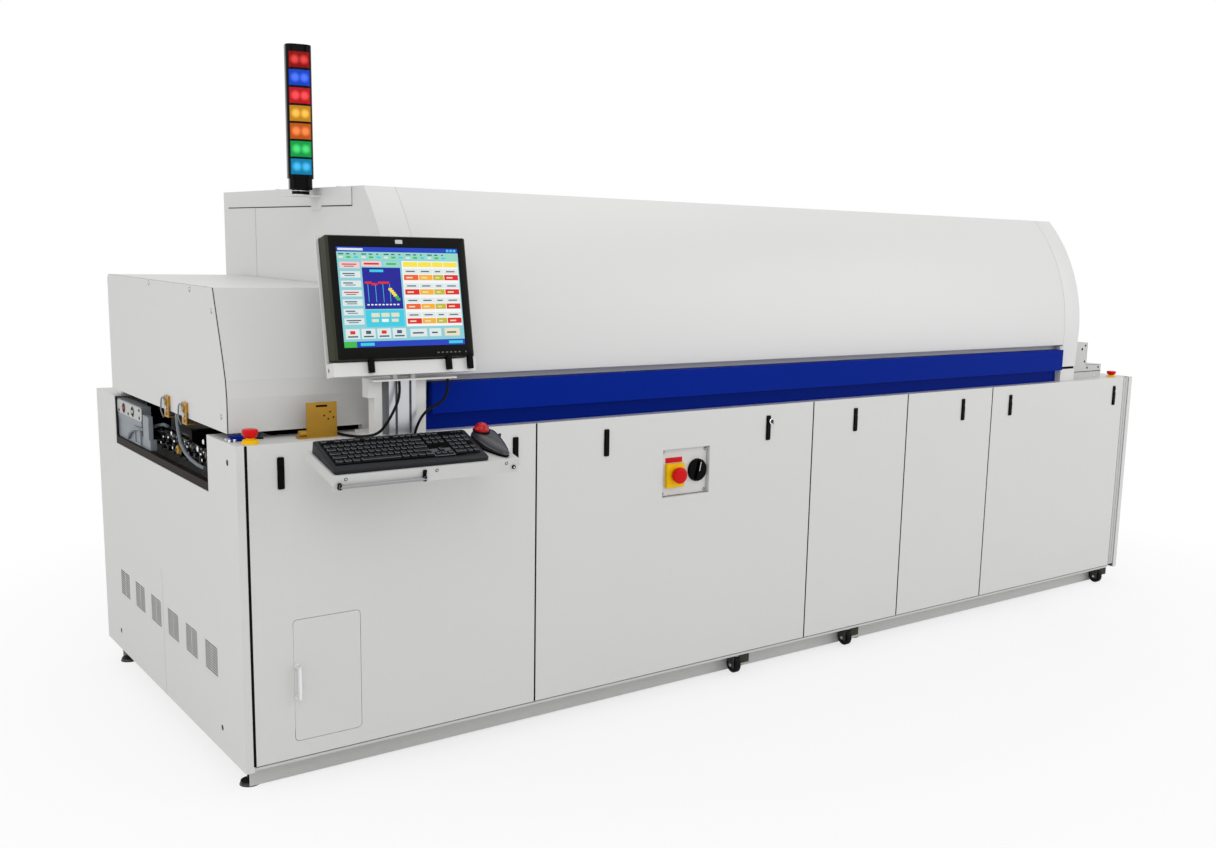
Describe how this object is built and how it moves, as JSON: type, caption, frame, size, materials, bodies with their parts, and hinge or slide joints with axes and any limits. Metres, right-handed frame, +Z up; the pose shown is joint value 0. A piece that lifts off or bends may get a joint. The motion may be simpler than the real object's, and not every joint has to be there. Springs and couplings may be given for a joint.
{
  "type": "reflow oven",
  "caption": "Long conveyor oven for soldering boards, with a lifting hood, tilting service doors, lever latches, a monitor, a keyboard tray and a signal tower.",
  "frame": {"origin": "centre of the footprint, on the floor", "axes": "+X along the board travel from the entry to the exit, +Y from the operator side to the rear, +Z up"},
  "size_m": [4.3, 1.7918, 2.163],
  "materials": {
    "cabinet_paint": "fine satin powder coat, warm light grey",
    "frame_grey": "satin grey paint",
    "cover_grey": "satin light grey paint",
    "fascia_blue": "satin deep blue paint",
    "bare_sheet": "plain steel sheet",
    "rail_aluminium": "anodised",
    "turned_steel": "turned",
    "dark_steel": "oiled dark steel",
    "caster_black": "black wheel and zinc fork",
    "lip_brown": "dark edging",
    "duct_grey": "grey blue paint",
    "bracket_brass": "yellow passivated plate",
    "stop_yellow": "moulded yellow",
    "stop_red": "moulded red",
    "black_plastic": "moulded black",
    "monitor_black": "fine textured black, with a lit screen",
    "latch_black": "black lever latch",
    "lamp_lens": "translucent lit lens, one colour per lamp",
    "post_white": "white paint",
    "cable_black": "black cable jacket",
    "cable_grey": "grey blue cable jacket",
    "mouse_grey": "glossy dark grey",
    "ball_red": "polished red"
  },
  "bodies": {
    "cabinet": {"left_end_panel": "cabinet_paint", "right_end_panel": "cabinet_paint", "rear_panels": "cabinet_paint", "deck": "cabinet_paint", "tunnel_base": "cabinet_paint", "entry_cover": "cabinet_paint", "entry_end_plate": "cabinet_paint", "door_1": "cabinet_paint", "switch_plate": "cabinet_paint", "base_frame": "frame_grey", "frame_posts": "frame_grey", "exit_cover": "cover_grey", "lower_fascia": "fascia_blue", "lower_heaters": "bare_sheet", "conveyor_frame": "rail_aluminium", "post_extrusion": "rail_aluminium", "levelling_feet": "dark_steel", "casters": "caster_black", "notch_lip": "lip_brown", "junction_box": "duct_grey", "brass_brackets": "bracket_brass", "stop_bases": "stop_yellow", "monitor_post": "post_white", "monitor_cable_a": "cable_black", "monitor_cable_b": "cable_black", "notch_cables": "cable_grey"},
    "hood": {"hood_shell": "cabinet_paint", "hood_left_end": "cabinet_paint", "hood_right_end": "cabinet_paint", "upper_fascia": "fascia_blue", "upper_heaters": "bare_sheet", "tower_housing": "black_plastic", "tower_lenses": "lamp_lens"},
    "door_2": {"door_2": "cabinet_paint"},
    "door_3": {"door_3": "cabinet_paint"},
    "door_4": {"door_4": "cabinet_paint"},
    "door_5": {"door_5": "cabinet_paint"},
    "access_door": {"access_door": "cabinet_paint"},
    "latch_1": {"latch_1": "latch_black"},
    "latch_2": {"latch_2": "latch_black"},
    "latch_3": {"latch_3": "latch_black"},
    "latch_4": {"latch_4": "latch_black"},
    "latch_5": {"latch_5": "latch_black"},
    "latch_6": {"latch_6": "latch_black"},
    "latch_7": {"latch_7": "latch_black"},
    "latch_8": {"latch_8": "latch_black"},
    "left_stop_cap": {"left_stop_cap": "stop_red"},
    "right_stop_cap": {"right_stop_cap": "stop_red"},
    "panel_stop_cap": {"panel_stop_cap": "stop_red"},
    "mains_dial": {"mains_dial": "black_plastic"},
    "monitor_head": {"monitor_bracket": "post_white", "monitor": "monitor_black"},
    "tray": {"tray": "post_white", "keyboard": "black_plastic", "trackball_body": "mouse_grey", "trackball_cable": "cable_black"},
    "trackball_ball": {"trackball_ball": "ball_red"},
    "moving_rail": {"moving_rail": "rail_aluminium"},
    "lead_screw": {"lead_screw": "turned_steel"},
    "drive_shaft": {"drive_shaft": "dark_steel"}
  },
  "joints": [
    {"name": "hood_lift", "type": "hinge", "parent": "cabinet", "child": "hood", "pos_m": [0.01, 0.88088, 1.08], "axis": [-1, 0, 0], "range_deg": [0, 40]},
    {"name": "door_2_tilt", "type": "hinge", "parent": "cabinet", "child": "door_2", "pos_m": [-0.59, -0.60212, 0.092], "axis": [1, 0, 0], "range_deg": [0, 25]},
    {"name": "door_3_tilt", "type": "hinge", "parent": "cabinet", "child": "door_3", "pos_m": [0.28475, -0.60212, 0.092], "axis": [1, 0, 0], "range_deg": [0, 25]},
    {"name": "door_4_tilt", "type": "hinge", "parent": "cabinet", "child": "door_4", "pos_m": [0.819, -0.60212, 0.092], "axis": [1, 0, 0], "range_deg": [0, 25]},
    {"name": "door_5_tilt", "type": "hinge", "parent": "cabinet", "child": "door_5", "pos_m": [1.58525, -0.60212, 0.092], "axis": [1, 0, 0], "range_deg": [0, 25]},
    {"name": "access_door_turn", "type": "hinge", "parent": "cabinet", "child": "access_door", "pos_m": [-1.8015, -0.60512, 0.32], "axis": [0, 0, 1], "range_deg": [0, 100]},
    {"name": "latch_1_turn", "type": "hinge", "parent": "cabinet", "child": "latch_1", "pos_m": [-2.0285, -0.60412, 0.961], "axis": [0, 1, 0], "range_deg": [0, 90]},
    {"name": "latch_2_turn", "type": "hinge", "parent": "cabinet", "child": "latch_2", "pos_m": [-1.278, -0.60412, 0.961], "axis": [0, 1, 0], "range_deg": [0, 90]},
    {"name": "latch_3_turn", "type": "hinge", "parent": "door_2", "child": "latch_3", "pos_m": [-0.93, -0.60412, 0.961], "axis": [0, 1, 0], "range_deg": [0, 90]},
    {"name": "latch_4_turn", "type": "hinge", "parent": "door_2", "child": "latch_4", "pos_m": [-0.209, -0.60412, 0.961], "axis": [0, 1, 0], "range_deg": [0, 90]},
    {"name": "latch_5_turn", "type": "hinge", "parent": "door_3", "child": "latch_5", "pos_m": [0.248, -0.60412, 0.961], "axis": [0, 1, 0], "range_deg": [0, 90]},
    {"name": "latch_6_turn", "type": "hinge", "parent": "door_4", "child": "latch_6", "pos_m": [0.8955, -0.60412, 0.961], "axis": [0, 1, 0], "range_deg": [0, 90]},
    {"name": "latch_7_turn", "type": "hinge", "parent": "door_5", "child": "latch_7", "pos_m": [1.2145, -0.60412, 0.961], "axis": [0, 1, 0], "range_deg": [0, 90]},
    {"name": "latch_8_turn", "type": "hinge", "parent": "door_5", "child": "latch_8", "pos_m": [2.003, -0.60412, 0.961], "axis": [0, 1, 0], "range_deg": [0, 90]},
    {"name": "left_stop_cap_push", "type": "slide", "parent": "cabinet", "child": "left_stop_cap", "axis": [0, 0, -1], "range_m": [0, 0.005], "stiffness_N_per_m": 2000, "springref_m": -0.002},
    {"name": "right_stop_cap_push", "type": "slide", "parent": "cabinet", "child": "right_stop_cap", "axis": [0, 0, -1], "range_m": [0, 0.005], "stiffness_N_per_m": 2000, "springref_m": -0.002},
    {"name": "panel_stop_cap_push", "type": "slide", "parent": "cabinet", "child": "panel_stop_cap", "axis": [0, 1, 0], "range_m": [0, 0.005], "stiffness_N_per_m": 2000, "springref_m": -0.002},
    {"name": "mains_dial_turn", "type": "hinge", "parent": "cabinet", "child": "mains_dial", "pos_m": [-0.531, -0.59412, 0.801], "axis": [0, 1, 0], "range_deg": [0, 90]},
    {"name": "monitor_tilt", "type": "hinge", "parent": "cabinet", "child": "monitor_head", "pos_m": [-1.688, -0.66212, 1.214], "axis": [1, 0, 0], "range_deg": [-4, 12]},
    {"name": "tray_tilt", "type": "hinge", "parent": "cabinet", "child": "tray", "pos_m": [-1.7, -0.70339, 1.00059], "axis": [1, 0, 0], "range_deg": [-20, 5]},
    {"name": "trackball_roll", "type": "hinge", "parent": "tray", "child": "trackball_ball", "pos_m": [-1.488, -0.76427, 1.03511], "axis": [1, 0, 0], "continuous": true},
    {"name": "rail_width", "type": "slide", "parent": "cabinet", "child": "moving_rail", "axis": [0, 1, 0], "range_m": [-0.25, 0.35]},
    {"name": "lead_screw_turn", "type": "hinge", "parent": "cabinet", "child": "lead_screw", "pos_m": [-2.01, -0.30412, 0.904], "axis": [0, 1, 0], "continuous": true},
    {"name": "drive_shaft_turn", "type": "hinge", "parent": "cabinet", "child": "drive_shaft", "pos_m": [-2.058, -0.30412, 0.915], "axis": [0, 1, 0], "continuous": true}
  ],
  "couplings": [
    {"joint": "lead_screw_turn", "follows": "rail_width", "rad_per_m": 314.16}
  ]
}
